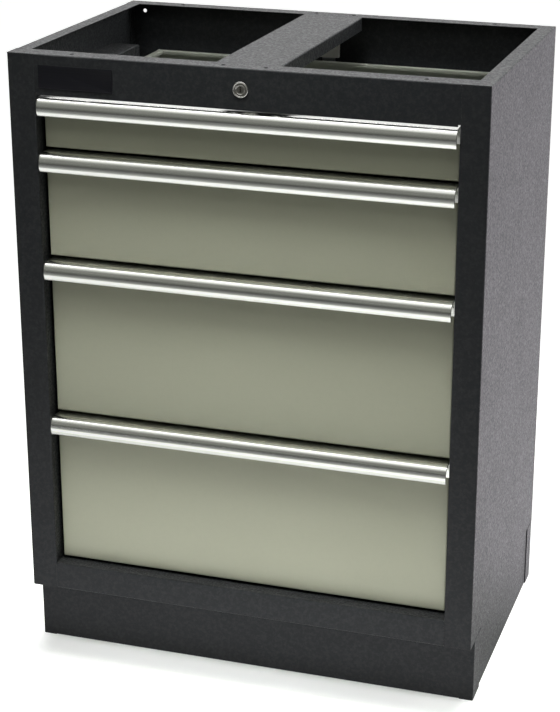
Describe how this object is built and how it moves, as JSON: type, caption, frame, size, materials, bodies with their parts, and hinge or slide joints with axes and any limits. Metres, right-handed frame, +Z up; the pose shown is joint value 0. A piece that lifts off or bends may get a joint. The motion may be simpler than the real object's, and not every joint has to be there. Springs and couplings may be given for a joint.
{
  "type": "tool cabinet",
  "caption": "Free-standing steel tool cabinet: open-topped casing on a recessed plinth, full-width drawers with curved metal grips on telescopic slides, and a central key lock.",
  "frame": {"origin": "on the floor, under the middle of the whole cabinet", "axes": "+X to the right as seen from the front, +Y from the front to the back, +Z up"},
  "size_m": [0.68, 0.458, 0.912],
  "materials": {
    "casing_paint": "charcoal powder coat with a fine texture",
    "drawer_front_paint": "smooth grey-green paint with a soft sheen",
    "drawer_paint": "smooth grey-green paint",
    "grip_aluminium": "extruded, satin to bright, brushed along its length",
    "bare_steel": "zinc plated",
    "lock_chrome": "nickel plated",
    "badge": "bare dark plate, satin",
    "guide_nylon": "natural nylon"
  },
  "bodies": {
    "carcass": {"side_panel_left": "casing_paint", "side_panel_right": "casing_paint", "top_rail": "casing_paint", "bottom_rail": "casing_paint", "back_panel": "casing_paint", "floor_pan": "casing_paint", "cross_brace": "casing_paint", "badge_plate": "badge", "plinth_front": "casing_paint", "plinth_rear": "casing_paint", "plinth_left": "casing_paint", "plinth_right": "casing_paint", "plinth_screws": "bare_steel", "runner_carrier_left": "casing_paint", "runner_carrier_right": "casing_paint", "slide_rivets": "bare_steel", "lock_barrel": "lock_chrome", "lock_nut": "bare_steel", "rod_hanger": "bare_steel", "lock_bar_guides": "guide_nylon", "slide_1_outer": "bare_steel", "slide_2_outer": "bare_steel", "slide_3_outer": "bare_steel", "slide_4_outer": "bare_steel"},
    "drawer_1": {"drawer_1_front": "drawer_front_paint", "drawer_1_tray": "drawer_paint", "drawer_1_tray_ends": "drawer_paint", "drawer_1_grip": "grip_aluminium", "drawer_1_slides": "bare_steel", "drawer_1_catch": "bare_steel", "drawer_1_fasteners": "bare_steel"},
    "slide_1": {"slide_1_middle": "bare_steel"},
    "drawer_2": {"drawer_2_front": "drawer_front_paint", "drawer_2_tray": "drawer_paint", "drawer_2_tray_ends": "drawer_paint", "drawer_2_grip": "grip_aluminium", "drawer_2_slides": "bare_steel", "drawer_2_catch": "bare_steel", "drawer_2_fasteners": "bare_steel"},
    "slide_2": {"slide_2_middle": "bare_steel"},
    "drawer_3": {"drawer_3_front": "drawer_front_paint", "drawer_3_tray": "drawer_paint", "drawer_3_tray_ends": "drawer_paint", "drawer_3_grip": "grip_aluminium", "drawer_3_slides": "bare_steel", "drawer_3_catch": "bare_steel", "drawer_3_fasteners": "bare_steel"},
    "slide_3": {"slide_3_middle": "bare_steel"},
    "drawer_4": {"drawer_4_front": "drawer_front_paint", "drawer_4_tray": "drawer_paint", "drawer_4_tray_ends": "drawer_paint", "drawer_4_grip": "grip_aluminium", "drawer_4_slides": "bare_steel", "drawer_4_catch": "bare_steel", "drawer_4_fasteners": "bare_steel"},
    "slide_4": {"slide_4_middle": "bare_steel"},
    "lock_core": {"lock_plug": "lock_chrome", "lock_rod": "bare_steel"},
    "lock_bar": {"lock_bar": "bare_steel", "lock_bar_fingers": "bare_steel"}
  },
  "joints": [
    {"name": "drawer_1_slide", "type": "slide", "parent": "carcass", "child": "drawer_1", "axis": [0, -1, 0], "range_m": [0, 0.35]},
    {"name": "slide_1_follow", "type": "slide", "parent": "carcass", "child": "slide_1", "axis": [0, -1, 0], "range_m": [0, 0.175]},
    {"name": "drawer_2_slide", "type": "slide", "parent": "carcass", "child": "drawer_2", "axis": [0, -1, 0], "range_m": [0, 0.35]},
    {"name": "slide_2_follow", "type": "slide", "parent": "carcass", "child": "slide_2", "axis": [0, -1, 0], "range_m": [0, 0.175]},
    {"name": "drawer_3_slide", "type": "slide", "parent": "carcass", "child": "drawer_3", "axis": [0, -1, 0], "range_m": [0, 0.35]},
    {"name": "slide_3_follow", "type": "slide", "parent": "carcass", "child": "slide_3", "axis": [0, -1, 0], "range_m": [0, 0.175]},
    {"name": "drawer_4_slide", "type": "slide", "parent": "carcass", "child": "drawer_4", "axis": [0, -1, 0], "range_m": [0, 0.35]},
    {"name": "slide_4_follow", "type": "slide", "parent": "carcass", "child": "slide_4", "axis": [0, -1, 0], "range_m": [0, 0.175]},
    {"name": "lock_bar_lift", "type": "slide", "parent": "carcass", "child": "lock_bar", "axis": [0, 0, 1], "range_m": [0, 0.0198]},
    {"name": "lock_turn", "type": "hinge", "parent": "carcass", "child": "lock_core", "pos_m": [0, -0.023, 0.88375], "axis": [0, 1, 0], "range_deg": [0, 90]}
  ],
  "couplings": [
    {"joint": "slide_1_follow", "follows": "drawer_1_slide", "ratio": 0.5},
    {"joint": "slide_2_follow", "follows": "drawer_2_slide", "ratio": 0.5},
    {"joint": "slide_3_follow", "follows": "drawer_3_slide", "ratio": 0.5},
    {"joint": "slide_4_follow", "follows": "drawer_4_slide", "ratio": 0.5},
    {"joint": "lock_turn", "follows": "lock_bar_lift", "rad_per_m": 79.333}
  ]
}
